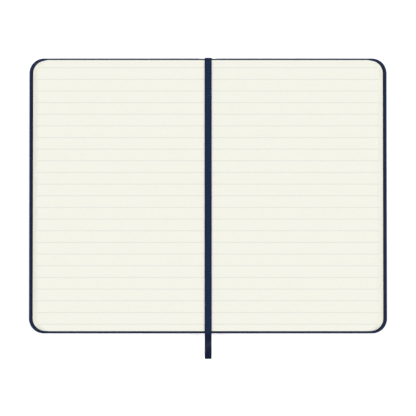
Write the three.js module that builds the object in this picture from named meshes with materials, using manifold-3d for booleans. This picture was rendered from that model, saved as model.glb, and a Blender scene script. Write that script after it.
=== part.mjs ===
// A small case-bound ruled book, lying open at its middle, with a ribbon marker.
// Millimetres. +X towards the right-hand fore-edge, +Y towards the head, +Z up from the table.
// The left half is the front of the book. Each half mirrors the other across the gutter at x = 0.

import * as THREE from "three";
import { mergeVertices } from "three/addons/utils/BufferGeometryUtils.js";
import Module from "manifold-3d";

// ---------------------------------------------------------------- driving dimensions

// overall
const COVER_HEIGHT = 140; // head to tail
const COVER_REACH = 91.0; // gutter to the cover's fore-edge, on each side
const COVER_CORNER = 7.5; // radius of the cover's two outer corners

// cover
const CLOTH = 0.26; // leatherette covering
const BOARD = 1.79; // grey board
const TURN_IN = 12; // width of the covering turned over the board's inner face
const LIP = 0.22; // thickness of the turned-in covering, pressed flat
const PASTEDOWN = 0.1; // paper glued over the board
const PASTEDOWN_INSET = 2.4; // board edge to pastedown edge
const JOINT_START = 0.9; // where the covering leaves the spine
const JOINT_WIDTH = 4.1; // bare covering between the spine and the board

// text block
const SECTIONS_PER_SIDE = 6;
const SECTION = 0.66; // eight leaves
const LEAF = 0.1; // one leaf
const SQUARE = 1.2; // cover past the pages at head and tail
const FORE_EDGE_SQUARE = 1.8; // cover past the lowest leaves at the fore-edge
const PAGE_CORNER = 6.3; // radius of the page's outer corners
const FAN_STEP = 0.34; // how far each lower section stands out past the one above it
const TOP_LEAF_ROOT = 2.2; // gutter to the inner edge of each top leaf
const TOP_LEAF_BACK = 0.85; // how far a top leaf stays back from its section's fore-edge

// spine strip, folded back to back down the middle of the open book
const SPINE_GAP = 0.1; // gutter plane to the covering
const SPINE_CARD = 0.3;
const LINING = 0.1;
const THREAD = 0.18;
const SPINE_FOOT = 0.05; // height of the strip's lower edge
const CARD_FOOT = 0.4; // height of the card's and the lining's lower edge
const FOLD_ROOM = 0.7; // page surface down to the strip's upper edge, under the fold
const CARD_INSET = 1.6; // card shorter than the cover at head and tail
const LINING_INSET = 6; // lining shorter than the pages at head and tail
const STITCHES = 6; // sewing stations from head to tail
const STITCH_WIDTH = 0.6;
const STITCH_MARGIN = 14; // page edge to the first station

// ribbon
const RIBBON_WIDTH = 3.6;
const RIBBON = 0.25; // thickness
const RIBBON_CENTRE = 0.15; // it lies just right of the gutter
const RIBBON_LIFT = 0.12; // page surface to the ribbon
const ANCHOR_START = 0.3; // page head to the start of the fold
const ANCHOR_REACH = 1.1; // page head to the outside of the fold
const ANCHOR_DROP = 0.95; // how far the folded end turns down over the head
const ANCHOR_BEND = 0.15; // corner cut off the fold

// clearances
const GLUE = 0.03; // between pieces that are glued face to face
const SLIP = 0.07; // between the endpapers, which lie on each other
const BACK_GAP = 0.13; // between the thread and the section backs

// route of the ribbon's middle: [y, z] from the head, along the gutter, off the tail to the table
const RIBBON_ROUTE = [
  [68.8, 7.145],
  [62.0, 7.145],
  [48.0, 7.145],
  [32.0, 7.145],
  [16.0, 7.145],
  [0.0, 7.145],
  [-16.0, 7.145],
  [-32.0, 7.145],
  [-48.0, 7.145],
  [-60.0, 7.145],
  [-66.0, 7.145],
  [-69.4, 7.145],
  [-71.0, 6.98],
  [-72.6, 6.48],
  [-74.0, 5.69],
  [-75.2, 4.66],
  [-76.0, 3.65],
  [-76.8, 2.64],
  [-78.0, 1.6],
  [-79.4, 0.81],
  [-81.0, 0.31],
  [-82.5, 0.145],
  [-83.0, 0.145],
];

// ---------------------------------------------------------------- derived levels

const BOARD_LOW = CLOTH + GLUE;
const LIP_LOW = BOARD_LOW + BOARD + GLUE;
const COVER_TOP = LIP_LOW + LIP;
const PASTEDOWN_LOW = COVER_TOP + GLUE;
const FLYLEAF_LOW = PASTEDOWN_LOW + PASTEDOWN + SLIP;
const SECTION_LOW = FLYLEAF_LOW + LEAF + GLUE;
const SECTION_PITCH = SECTION + GLUE;
const TOP_LEAF_LOW = SECTION_LOW + SECTIONS_PER_SIDE * SECTION_PITCH;
const PAGE_TOP = TOP_LEAF_LOW + LEAF;

const BOARD_ROOT = JOINT_START + JOINT_WIDTH;
const SPINE_CARD_AT = SPINE_GAP + CLOTH + GLUE;
const LINING_AT = SPINE_CARD_AT + SPINE_CARD + GLUE;
const THREAD_AT = LINING_AT + LINING + GLUE;
const SECTION_BACK = THREAD_AT + THREAD + BACK_GAP;
const SPINE_TOP = PAGE_TOP - FOLD_ROOM;
const PAGE_HEIGHT = COVER_HEIGHT - 2 * SQUARE;
const FAN = FAN_STEP * (SECTIONS_PER_SIDE - 1);
const PAGE_WIDTH = COVER_REACH - FORE_EDGE_SQUARE - FAN - SECTION_BACK; // section back to fore-edge
const ARC_SEGMENTS = 8;

const SIDES = { front: -1, back: 1 };

// ---------------------------------------------------------------- colours and finishes

const NAVY_LEATHERETTE = { color: 0x14233f, roughness: 0.55, metalness: 0 };
const IVORY_PAPER = { color: 0xf3f2e8, roughness: 0.9, metalness: 0 };
const CREAM_ENDPAPER = { color: 0xeeead9, roughness: 0.9, metalness: 0 };
const GREY_BOARD = { color: 0x8a857a, roughness: 0.95, metalness: 0 };
const SPINE_MANILA = { color: 0xb9a684, roughness: 0.95, metalness: 0 };
const WHITE_MULL = { color: 0xd8d4c6, roughness: 1, metalness: 0 };
const LINEN_THREAD = { color: 0xe9e4d2, roughness: 0.8, metalness: 0 };
const NAVY_RIBBON = { color: 0x23324f, roughness: 0.5, metalness: 0 };

const logbook = new THREE.Group();

function addPiece(name, geometry, finish, z = 0) {
  const piece = new THREE.Mesh(geometry, new THREE.MeshStandardMaterial(finish));
  piece.name = name;
  piece.position.z = z;
  logbook.add(piece);
}

// ---------------------------------------------------------------- outlines and solids

// A page or cover outline: square along the gutter, rounded at its two outer corners.
function leafOutline(side, inner, outer, height, corner) {
  const half = height / 2;
  const centre = outer - corner;
  const points = [[inner, -half], [centre, -half]];
  for (let step = 1; step <= ARC_SEGMENTS; step += 1) {
    const turn = (Math.PI / 2) * (step / ARC_SEGMENTS - 1);
    points.push([centre + corner * Math.cos(turn), corner - half + corner * Math.sin(turn)]);
  }
  for (let step = 0; step <= ARC_SEGMENTS; step += 1) {
    const turn = (Math.PI / 2) * (step / ARC_SEGMENTS);
    points.push([centre + corner * Math.cos(turn), half - corner + corner * Math.sin(turn)]);
  }
  points.push([inner, half]);
  return new THREE.Shape(points.map(([x, y]) => new THREE.Vector2(side * x, y)));
}

// A flat sheet or slab of that outline, lying on z = 0.
function slab(side, inner, outer, height, corner, thickness) {
  const outline = leafOutline(side, inner, outer, height, corner);
  return new THREE.ExtrudeGeometry(outline, { depth: thickness, bevelEnabled: false });
}

// A plain box given by its corners.
function boxBetween(x0, x1, y0, y1, z0, z1) {
  const box = new THREE.BoxGeometry(Math.abs(x1 - x0), y1 - y0, z1 - z0);
  return box.translate((x0 + x1) / 2, (y0 + y1) / 2, (z0 + z1) / 2);
}

// An outline in the (y, z) plane, carried along +X from x0 for the given depth.
function sidewaysExtrusion(points, x0, depth) {
  const outline = new THREE.Shape(points.map(([y, z]) => new THREE.Vector2(y, z)));
  const solid = new THREE.ExtrudeGeometry(outline, { depth, bevelEnabled: false });
  solid.applyMatrix4(new THREE.Matrix4().makeBasis(
    new THREE.Vector3(0, 1, 0),
    new THREE.Vector3(0, 0, 1),
    new THREE.Vector3(1, 0, 0),
  ));
  return solid.translate(x0, 0, 0);
}

const manifold = await Module();
manifold.setup();

function toSolid(geometry) {
  const bare = geometry.clone();
  bare.deleteAttribute("normal");
  bare.deleteAttribute("uv");
  const merged = mergeVertices(bare, 1e-5);
  return new manifold.Manifold(new manifold.Mesh({
    numProp: 3,
    vertProperties: new Float32Array(merged.attributes.position.array),
    triVerts: new Uint32Array(merged.index.array),
  }));
}

function cutAway(body, cutters) {
  const mesh = cutters.reduce((solid, cutter) => solid.subtract(toSolid(cutter)), toSolid(body)).getMesh();
  const geometry = new THREE.BufferGeometry();
  geometry.setAttribute("position", new THREE.BufferAttribute(new Float32Array(mesh.vertProperties), 3));
  geometry.setIndex(new THREE.BufferAttribute(new Uint32Array(mesh.triVerts), 1));
  geometry.computeVertexNormals();
  return geometry;
}

// ---------------------------------------------------------------- cover

// The covering runs from the spine over the outside of the board, round its edges and on to its
// inner face, where it ends in the turned-in lip.
function makeCovering(name, side) {
  const past = COVER_TOP + 1;
  const body = slab(side, JOINT_START, COVER_REACH, COVER_HEIGHT, COVER_CORNER, COVER_TOP);
  const pocket = slab(side, BOARD_ROOT - GLUE, COVER_REACH - CLOTH, COVER_HEIGHT - 2 * CLOTH,
    COVER_CORNER - CLOTH, LIP_LOW - CLOTH);
  pocket.translate(0, 0, CLOTH);
  const window = slab(side, 0, COVER_REACH - TURN_IN, COVER_HEIGHT - 2 * TURN_IN,
    COVER_CORNER / 2, past - BOARD_LOW);
  window.translate(0, 0, BOARD_LOW);
  const reach = COVER_HEIGHT / 2 + 1;
  const joint = boxBetween(0, side * (BOARD_ROOT - GLUE), -reach, reach, CLOTH, past);
  addPiece(name, cutAway(body, [pocket, window, joint]), NAVY_LEATHERETTE);
}

function makeBoard(name, side) {
  const edge = CLOTH + GLUE;
  const board = slab(side, BOARD_ROOT, COVER_REACH - edge, COVER_HEIGHT - 2 * edge,
    COVER_CORNER - edge, BOARD);
  addPiece(name, board, GREY_BOARD, BOARD_LOW);
}

function makePastedown(name, side) {
  const sheet = slab(side, BOARD_ROOT + GLUE, COVER_REACH - PASTEDOWN_INSET,
    COVER_HEIGHT - 2 * PASTEDOWN_INSET, COVER_CORNER - PASTEDOWN_INSET, PASTEDOWN);
  addPiece(name, sheet, CREAM_ENDPAPER, PASTEDOWN_LOW);
}

// ---------------------------------------------------------------- text block

// How far a section stands out from the gutter: level 0 lies on the flyleaf, the last is on top.
function fanOffset(level) {
  return FAN - FAN_STEP * level;
}

function makeFlyleaf(name, side) {
  const inner = SECTION_BACK + fanOffset(0);
  const sheet = slab(side, inner, inner + PAGE_WIDTH, PAGE_HEIGHT, PAGE_CORNER, LEAF);
  addPiece(name, sheet, CREAM_ENDPAPER, FLYLEAF_LOW);
}

function makeSection(name, side, level) {
  const inner = SECTION_BACK + fanOffset(level);
  const block = slab(side, inner, inner + PAGE_WIDTH, PAGE_HEIGHT, PAGE_CORNER, SECTION);
  addPiece(name, block, IVORY_PAPER, SECTION_LOW + level * SECTION_PITCH);
}

function makeTopLeaf(name, side) {
  const outer = SECTION_BACK + PAGE_WIDTH - TOP_LEAF_BACK;
  const sheet = slab(side, TOP_LEAF_ROOT, outer, PAGE_HEIGHT, PAGE_CORNER, LEAF);
  addPiece(name, sheet, IVORY_PAPER, TOP_LEAF_LOW);
}

function makeTextBlockHalf(end, side) {
  makeFlyleaf(`${end}_flyleaf`, side);
  for (let level = 0; level < SECTIONS_PER_SIDE; level += 1) {
    const count = side < 0 ? level + 1 : 2 * SECTIONS_PER_SIDE - level;
    makeSection(`section_${String(count).padStart(2, "0")}`, side, level);
  }
  makeTopLeaf(side < 0 ? "left_top_leaf" : "right_top_leaf", side);
}

// ---------------------------------------------------------------- spine

// One upright layer of the folded spine strip.
function spineLayer(side, at, thickness, height, foot) {
  const half = height / 2;
  return boxBetween(side * at, side * (at + thickness), -half, half, foot, SPINE_TOP);
}

// The sewing shows on the section backs as upright stitches, joined by the thread's run from one
// station to the next.
function makeThread(name, side) {
  const low = SECTION_LOW + SECTION_PITCH / 2;
  const run = low + STITCH_WIDTH;
  const end = PAGE_HEIGHT / 2 - STITCH_MARGIN;
  const pitch = (2 * end) / (STITCHES - 1);
  const points = [[-end, low], [end + STITCH_WIDTH, low]];
  for (let station = STITCHES - 1; station >= 0; station -= 1) {
    const y = -end + station * pitch;
    points.push([y + STITCH_WIDTH, station < STITCHES - 1 ? run : low]);
    points.push([y + STITCH_WIDTH, SPINE_TOP]);
    points.push([y, SPINE_TOP]);
    points.push([y, station > 0 ? run : low]);
  }
  const corners = points.filter(([y, z], at) => {
    const [beforeY, beforeZ] = points[(at + points.length - 1) % points.length];
    return y !== beforeY || z !== beforeZ;
  });
  const x0 = side < 0 ? -(THREAD_AT + THREAD) : THREAD_AT;
  addPiece(name, sidewaysExtrusion(corners, x0, THREAD), LINEN_THREAD);
}

function makeSpineHalf(end, side) {
  addPiece(`${end}_spine_covering`, spineLayer(side, SPINE_GAP, CLOTH, COVER_HEIGHT - 2 * GLUE, SPINE_FOOT),
    NAVY_LEATHERETTE);
  addPiece(`${end}_spine_card`,
    spineLayer(side, SPINE_CARD_AT, SPINE_CARD, COVER_HEIGHT - 2 * CARD_INSET, CARD_FOOT), SPINE_MANILA);
  addPiece(`${end}_spine_lining`,
    spineLayer(side, LINING_AT, LINING, PAGE_HEIGHT - 2 * LINING_INSET, CARD_FOOT), WHITE_MULL);
  makeThread(`${end}_sewing_thread`, side);
}

// ---------------------------------------------------------------- ribbon

// A band of even thickness: the route's points moved half a thickness to each side.
function bandOutline(route, thickness) {
  const over = [];
  const under = [];
  route.forEach(([y, z], at) => {
    const [y0, z0] = route[Math.max(at - 1, 0)];
    const [y1, z1] = route[Math.min(at + 1, route.length - 1)];
    const length = Math.hypot(y1 - y0, z1 - z0);
    const across = [(z1 - z0) / length, (y0 - y1) / length];
    over.push([y + (across[0] * thickness) / 2, z + (across[1] * thickness) / 2]);
    under.push([y - (across[0] * thickness) / 2, z - (across[1] * thickness) / 2]);
  });
  return [...over, ...under.reverse()];
}

function makeRibbon() {
  const left = RIBBON_CENTRE - RIBBON_WIDTH / 2;
  addPiece("ribbon_marker", sidewaysExtrusion(bandOutline(RIBBON_ROUTE, RIBBON), left, RIBBON_WIDTH),
    NAVY_RIBBON);
}

// The ribbon's other end is folded down over the head of the spine and glued inside it.
function makeRibbonAnchor() {
  const head = PAGE_HEIGHT / 2;
  const start = head + ANCHOR_START;
  const outside = head + ANCHOR_REACH;
  const top = PAGE_TOP + RIBBON_LIFT + RIBBON;
  const fold = [
    [start, top],
    [outside - ANCHOR_BEND, top],
    [outside, top - ANCHOR_BEND],
    [outside, top - ANCHOR_DROP],
    [outside - RIBBON, top - ANCHOR_DROP],
    [outside - RIBBON, top - RIBBON],
    [start, top - RIBBON],
  ];
  const left = RIBBON_CENTRE - RIBBON_WIDTH / 2;
  addPiece("ribbon_anchor", sidewaysExtrusion(fold, left, RIBBON_WIDTH), NAVY_RIBBON);
}

// ---------------------------------------------------------------- the open book

for (const [end, side] of Object.entries(SIDES)) {
  makeCovering(`${end}_covering`, side);
  makeBoard(`${end}_board`, side);
  makePastedown(`${end}_pastedown`, side);
  makeTextBlockHalf(end, side);
  makeSpineHalf(end, side);
}
makeRibbon();
makeRibbonAnchor();

export default logbook;
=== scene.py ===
"""A small case-bound ruled book, lying open at its middle, with a ribbon marker in the gutter.

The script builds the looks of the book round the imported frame. Sizes are in millimetres, and mesh points
become metres where a mesh is made. +X points to the right-hand fore-edge, +Y to the head and +Z up from
the table. The left half is the front of the book, and each half mirrors the other across x = 0.
"""

import logging
import math
from dataclasses import dataclass
from enum import Enum
from typing import ClassVar

import bpy
import numpy as np
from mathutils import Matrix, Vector


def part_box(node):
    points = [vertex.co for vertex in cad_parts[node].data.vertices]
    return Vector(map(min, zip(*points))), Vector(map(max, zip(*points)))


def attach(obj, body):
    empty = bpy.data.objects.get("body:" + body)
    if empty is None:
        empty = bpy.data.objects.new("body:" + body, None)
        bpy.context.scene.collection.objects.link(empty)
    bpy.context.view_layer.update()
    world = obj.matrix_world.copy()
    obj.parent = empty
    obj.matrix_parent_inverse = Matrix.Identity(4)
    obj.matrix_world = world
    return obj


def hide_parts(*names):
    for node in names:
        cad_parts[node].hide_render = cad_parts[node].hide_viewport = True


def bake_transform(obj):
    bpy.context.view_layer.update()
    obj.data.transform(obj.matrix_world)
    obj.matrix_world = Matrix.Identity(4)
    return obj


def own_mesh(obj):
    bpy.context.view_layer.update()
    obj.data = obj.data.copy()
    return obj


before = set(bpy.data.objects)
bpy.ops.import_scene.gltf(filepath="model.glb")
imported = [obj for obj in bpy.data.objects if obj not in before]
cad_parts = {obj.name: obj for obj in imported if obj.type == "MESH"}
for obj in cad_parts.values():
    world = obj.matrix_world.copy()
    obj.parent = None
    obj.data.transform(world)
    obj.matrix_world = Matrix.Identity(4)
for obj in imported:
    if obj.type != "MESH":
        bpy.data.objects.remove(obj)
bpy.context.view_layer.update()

MM = 0.001
SEED = 11
LEAF_ROWS = 5  # points of a leaf's mesh from tail to head
GUTTER_COLUMNS = 14  # points by the gutter, where a leaf may bend
GUTTER_CROWDING = 1.3  # power that draws those points towards the gutter
MIDDLE_COLUMNS = 5
CORNER_COLUMNS = 10
log = logging.getLogger("logbook")

# The ribbon's middle line, as (y, z): from the head along the gutter, off the tail and on to the table.
RIBBON_ROUTE = [
    (68.8, 7.145),
    (62.0, 7.145),
    (48.0, 7.145),
    (32.0, 7.145),
    (16.0, 7.145),
    (0.0, 7.145),
    (-16.0, 7.145),
    (-32.0, 7.145),
    (-48.0, 7.145),
    (-60.0, 7.145),
    (-66.0, 7.145),
    (-69.4, 7.145),
    (-71.0, 6.98),
    (-72.6, 6.48),
    (-74.0, 5.69),
    (-75.2, 4.66),
    (-76.0, 3.65),
    (-76.8, 2.64),
    (-78.0, 1.6),
    (-79.4, 0.81),
    (-81.0, 0.31),
    (-82.5, 0.145),
    (-83.0, 0.145),
]


class Side(Enum):
    """The two halves of the book, by the sign of x."""

    FRONT = -1
    BACK = 1

    @property
    def end(self) -> str:
        """First word of this half's node names."""
        return "front" if self is Side.FRONT else "back"

    @property
    def block(self) -> str:
        """Body of this half's text block."""
        return "left_block" if self is Side.FRONT else "right_block"

    @property
    def cover(self) -> str:
        """Body of this half's cover."""
        return f"{self.end}_cover"

    @property
    def hand(self) -> str:
        """Left or right, as the open book lies."""
        return "left" if self is Side.FRONT else "right"

    def section(self, level: int) -> tuple[str, str]:
        """Node and body of a section.

        Args:
            level: 0 for the section on the flyleaf, 5 for the one on top.

        Returns:
            The section's node name and its body's name.
        """
        count = level + 1 if self is Side.FRONT else 12 - level
        moves = level < TextBlock.levels - 1
        return f"section_{count:02d}", f"{self.hand}_section_{count:02d}" if moves else self.block


# ------------------------------------------------------------------------------- colour and node helpers


def linear(colour: str) -> tuple[float, float, float, float]:
    """Turns an sRGB hex colour into a linear one, by the sRGB curve.

    Args:
        colour: Six hex digits.

    Returns:
        Red, green, blue and an alpha of 1.
    """
    value = np.array([int(colour[at : at + 2], 16) for at in (0, 2, 4)]) / 255
    red, green, blue = np.where(value <= 0.04045, value / 12.92, ((value + 0.055) / 1.055) ** 2.4)
    return float(red), float(green), float(blue), 1.0


def add_node(tree: bpy.types.NodeTree, kind: str, inputs: dict | None = None, **settings) -> bpy.types.Node:
    """Adds one node with its settings and links.

    Args:
        tree: Node tree of a material or of the world.
        kind: Blender's name for the node type.
        inputs: For each input, by name or number, a value or the output socket that feeds it.
        settings: Properties of the node.

    Returns:
        The new node.
    """
    node = tree.nodes.new(kind)
    for name, value in settings.items():
        setattr(node, name, value)
    for place, value in (inputs or {}).items():
        if isinstance(value, bpy.types.NodeSocket):
            tree.links.new(value, node.inputs[place])
        else:
            node.inputs[place].default_value = value
    return node


# --------------------------------------------------------------------------------------------- finishes


@dataclass(frozen=True)
class Finish:
    """What every finish of the book shares: a name, a base colour, its roughness and its gloss."""

    name: str
    colour: str
    roughness: float
    specular: float

    def begin(self) -> tuple[bpy.types.Material, bpy.types.NodeTree, bpy.types.Node, bpy.types.NodeSocket]:
        """Starts the material.

        Returns:
            The material, its node tree, its Principled node and the object coordinates in metres.
        """
        material = bpy.data.materials.new(self.name)
        material.use_nodes = True
        tree = material.node_tree
        tree.nodes.clear()
        shader = add_node(tree, "ShaderNodeBsdfPrincipled", {
            "Base Color": linear(self.colour),
            "Roughness": self.roughness,
            "Specular IOR Level": self.specular,
        })
        add_node(tree, "ShaderNodeOutputMaterial", {"Surface": shader.outputs["BSDF"]})
        place = add_node(tree, "ShaderNodeTexCoord").outputs["Object"]
        return material, tree, shader, place

    def build(self) -> bpy.types.Material:
        """The finished material."""
        raise NotImplementedError


@dataclass(frozen=True)
class Leatherette(Finish):
    """Paper-backed leatherette, embossed with a fine pebble grain, then glued and turned in.

    The eye gets a matt navy with small glossy pebbles, painted shade in the creases between them, faint wide
    clouding, and edges painted slightly lighter, as wear and as painted highlight.
    """

    # darker tone painted into the creases between the pebbles, as painted shade
    crease: str
    # lighter tone for the clouds, and for the edges' wear and painted highlight
    worn: str
    grain: float  # pebble size
    depth: float  # height of a pebble
    wobble: float = 0.35  # how far the pebbles stray from even places
    wobble_size: float = 1.6
    cloud_size: float = 22.0
    clouding: float = 0.3  # how much of the lighter tone the clouds bring
    wear_and_highlight_strength: float = 0.55  # how much of it a fully lightened edge shows, as wear and painted highlight

    def build(self) -> bpy.types.Material:
        """The finished material."""
        material, tree, shader, place = self.begin()
        warp = add_node(tree, "ShaderNodeTexNoise", {
            "Vector": place, "Scale": 1 / (self.wobble_size * MM), "Detail": 2.0,
        })
        shift = add_node(tree, "ShaderNodeVectorMath", {
            0: warp.outputs["Color"], "Scale": self.wobble * MM,
        }, operation="SCALE")
        bent = add_node(tree, "ShaderNodeVectorMath", {0: place, 1: shift.outputs[0]}, operation="ADD")
        pebble = add_node(tree, "ShaderNodeTexVoronoi", {
            "Vector": bent.outputs[0], "Scale": 1 / (self.grain * MM), "Smoothness": 0.45,
        }, feature="SMOOTH_F1")
        cloud = add_node(tree, "ShaderNodeTexNoise", {
            "Vector": place, "Scale": 1 / (self.cloud_size * MM), "Detail": 4.0,
        })
        # wear and painted highlight: the rounded edges and the rim of the turn-in are painted lighter
        wear_and_highlight = add_node(tree, "ShaderNodeAttribute", attribute_name="wear_and_highlight").outputs["Fac"]
        # painted shade: the creases between the pebbles are painted darker
        crease_shade = add_node(tree, "ShaderNodeMapRange", {
            "Value": pebble.outputs["Distance"], "From Min": 0.35, "From Max": 0.75,
            "To Min": 0.0, "To Max": 0.8,
        }, interpolation_type="SMOOTHSTEP")
        with_crease_shade = add_node(tree, "ShaderNodeMix", {
            0: crease_shade.outputs[0], 6: linear(self.colour), 7: linear(self.crease),
        }, data_type="RGBA")
        haze = add_node(tree, "ShaderNodeMath", {
            0: cloud.outputs["Fac"], 1: self.clouding,
        }, operation="MULTIPLY")
        clouded = add_node(tree, "ShaderNodeMix", {
            0: haze.outputs[0], 6: with_crease_shade.outputs[2], 7: linear(self.worn),
        }, data_type="RGBA")
        wear_and_highlight_share = add_node(tree, "ShaderNodeMath", {0: wear_and_highlight, 1: self.wear_and_highlight_strength}, operation="MULTIPLY")
        worn = add_node(tree, "ShaderNodeMix", {
            0: wear_and_highlight_share.outputs[0], 6: clouded.outputs[2], 7: linear(self.worn),
        }, data_type="RGBA")
        tree.links.new(worn.outputs[2], shader.inputs["Base Color"])
        rough = add_node(tree, "ShaderNodeMapRange", {
            "Value": pebble.outputs["Distance"], "From Min": 0.0, "From Max": 0.8,
            "To Min": self.roughness - 0.08, "To Max": self.roughness + 0.14,
        })
        tree.links.new(rough.outputs[0], shader.inputs["Roughness"])
        bump = add_node(tree, "ShaderNodeBump", {
            "Height": pebble.outputs["Distance"], "Distance": self.depth * MM, "Strength": 0.8,
        }, invert=True)
        tree.links.new(bump.outputs["Normal"], shader.inputs["Normal"])
        return material


@dataclass(frozen=True)
class RuledPaper(Finish):
    """Ivory uncoated writing paper, ruled by offset in pale grey.

    The eye gets a soft even cream with a hair of fibre mottling, and thin grey lines that run off the edges.
    The leaves are painted paler towards their cut fore-edges, as painted light that brightens the fan of
    edges.
    The lines are 0.45 wide and pale, where real ones are finer and darker, so that they show evenly.
    """

    ink: str
    mottle: str
    # paler tone painted on the leaves' fore-edges, as painted light
    edge: str
    pitch: float
    first: float  # y of the line nearest the head
    line: float  # width of a line
    mottle_size: float = 1.1
    tooth_size: float = 0.3
    tooth: float = 0.008  # height of the paper's tooth

    def build(self) -> bpy.types.Material:
        """The finished material."""
        material, tree, shader, place = self.begin()
        fibre = add_node(tree, "ShaderNodeTexNoise", {
            "Vector": place, "Scale": 1 / (self.mottle_size * MM), "Detail": 3.0, "Roughness": 0.7,
        })
        cloud = add_node(tree, "ShaderNodeMapRange", {
            "Value": fibre.outputs["Fac"], "From Min": 0.35, "From Max": 0.7, "To Min": 0.0, "To Max": 1.0,
        })
        paper = add_node(tree, "ShaderNodeMix", {
            0: cloud.outputs[0], 6: linear(self.colour), 7: linear(self.mottle),
        }, data_type="RGBA")
        up = add_node(tree, "ShaderNodeSeparateXYZ", {0: place}).outputs["Y"]
        slip = add_node(tree, "ShaderNodeAttribute", attribute_name="ruling_slip").outputs["Fac"]
        moved = add_node(tree, "ShaderNodeMath", {0: up, 1: slip}, operation="ADD").outputs[0]
        turns = add_node(tree, "ShaderNodeMath", {
            0: moved, 1: 1 / (self.pitch * MM), 2: 0.5 - self.first / self.pitch,
        }, operation="MULTIPLY_ADD").outputs[0]
        within = add_node(tree, "ShaderNodeMath", {0: turns}, operation="FRACT").outputs[0]
        centred = add_node(tree, "ShaderNodeMath", {0: within, 1: 0.5}, operation="SUBTRACT").outputs[0]
        off = add_node(tree, "ShaderNodeMath", {0: centred}, operation="ABSOLUTE").outputs[0]
        inked = add_node(tree, "ShaderNodeMath", {
            0: off, 1: self.line / 2 / self.pitch,
        }, operation="LESS_THAN").outputs[0]
        printed = add_node(tree, "ShaderNodeMix", {
            0: inked, 6: paper.outputs[2], 7: linear(self.ink),
        }, data_type="RGBA")
        # painted light: paler towards the cut fore-edges
        painted_edge_light = add_node(tree, "ShaderNodeAttribute", attribute_name="painted_edge_light").outputs["Fac"]
        with_edge_light = add_node(tree, "ShaderNodeMix", {
            0: painted_edge_light, 6: printed.outputs[2], 7: linear(self.edge),
        }, data_type="RGBA")
        tree.links.new(with_edge_light.outputs[2], shader.inputs["Base Color"])
        tooth = add_node(tree, "ShaderNodeTexNoise", {
            "Vector": place, "Scale": 1 / (self.tooth_size * MM), "Detail": 2.0,
        })
        bump = add_node(tree, "ShaderNodeBump", {
            "Height": tooth.outputs["Fac"], "Distance": self.tooth * MM, "Strength": 0.5,
        })
        tree.links.new(bump.outputs["Normal"], shader.inputs["Normal"])
        return material


@dataclass(frozen=True)
class Fibrous(Finish):
    """Paper or board with no print: endpaper, grey board and spine card.

    The eye gets a plain colour broken by flecks of fibre, coarse on board and almost none on endpaper.
    """

    fleck: str
    fibre: float  # fleck size
    contrast: float
    depth: float  # height of the surface's tooth

    def build(self) -> bpy.types.Material:
        """The finished material."""
        material, tree, shader, place = self.begin()
        flecks = add_node(tree, "ShaderNodeTexNoise", {
            "Vector": place, "Scale": 1 / (self.fibre * MM), "Detail": 5.0, "Roughness": 0.75,
        })
        amount = add_node(tree, "ShaderNodeMapRange", {
            "Value": flecks.outputs["Fac"], "From Min": 0.45, "From Max": 0.7, "To Min": 0.0,
            "To Max": self.contrast,
        })
        mixed = add_node(tree, "ShaderNodeMix", {
            0: amount.outputs[0], 6: linear(self.colour), 7: linear(self.fleck),
        }, data_type="RGBA")
        tree.links.new(mixed.outputs[2], shader.inputs["Base Color"])
        bump = add_node(tree, "ShaderNodeBump", {
            "Height": flecks.outputs["Fac"], "Distance": self.depth * MM, "Strength": 0.6,
        })
        tree.links.new(bump.outputs["Normal"], shader.inputs["Normal"])
        return material


@dataclass(frozen=True)
class PlainWeave(Finish):
    """Threads crossing over and under: spine mull, and linen thread with its twist.

    The eye gets small raised squares with painted shade in the gaps between them. A sine along one axis times
    a sine along the other gives the crossings.
    """

    # darker tone painted into the gaps between threads, as painted shade
    gap: str
    pitch_up: float  # thread spacing along y
    pitch_across: float  # thread spacing along z
    depth: float

    def build(self) -> bpy.types.Material:
        """The finished material."""
        material, tree, shader, place = self.begin()
        axes = add_node(tree, "ShaderNodeSeparateXYZ", {0: place})
        waves = []
        for axis, pitch in (("Y", self.pitch_up), ("Z", self.pitch_across)):
            phase = add_node(tree, "ShaderNodeMath", {
                0: axes.outputs[axis], 1: math.pi / (pitch * MM),
            }, operation="MULTIPLY")
            waves.append(add_node(tree, "ShaderNodeMath", {0: phase.outputs[0]}, operation="SINE").outputs[0])
        crossing = add_node(tree, "ShaderNodeMath", {0: waves[0], 1: waves[1]}, operation="MULTIPLY")
        height = add_node(tree, "ShaderNodeMath", {0: crossing.outputs[0]}, operation="ABSOLUTE")
        shade = add_node(tree, "ShaderNodeMapRange", {
            "Value": height.outputs[0], "From Min": 0.0, "From Max": 0.6, "To Min": 0.8, "To Max": 0.0,
        })
        mixed = add_node(tree, "ShaderNodeMix", {
            0: shade.outputs[0], 6: linear(self.colour), 7: linear(self.gap),
        }, data_type="RGBA")
        tree.links.new(mixed.outputs[2], shader.inputs["Base Color"])
        bump = add_node(tree, "ShaderNodeBump", {"Height": height.outputs[0], "Distance": self.depth * MM})
        tree.links.new(bump.outputs["Normal"], shader.inputs["Normal"])
        return material


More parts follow.
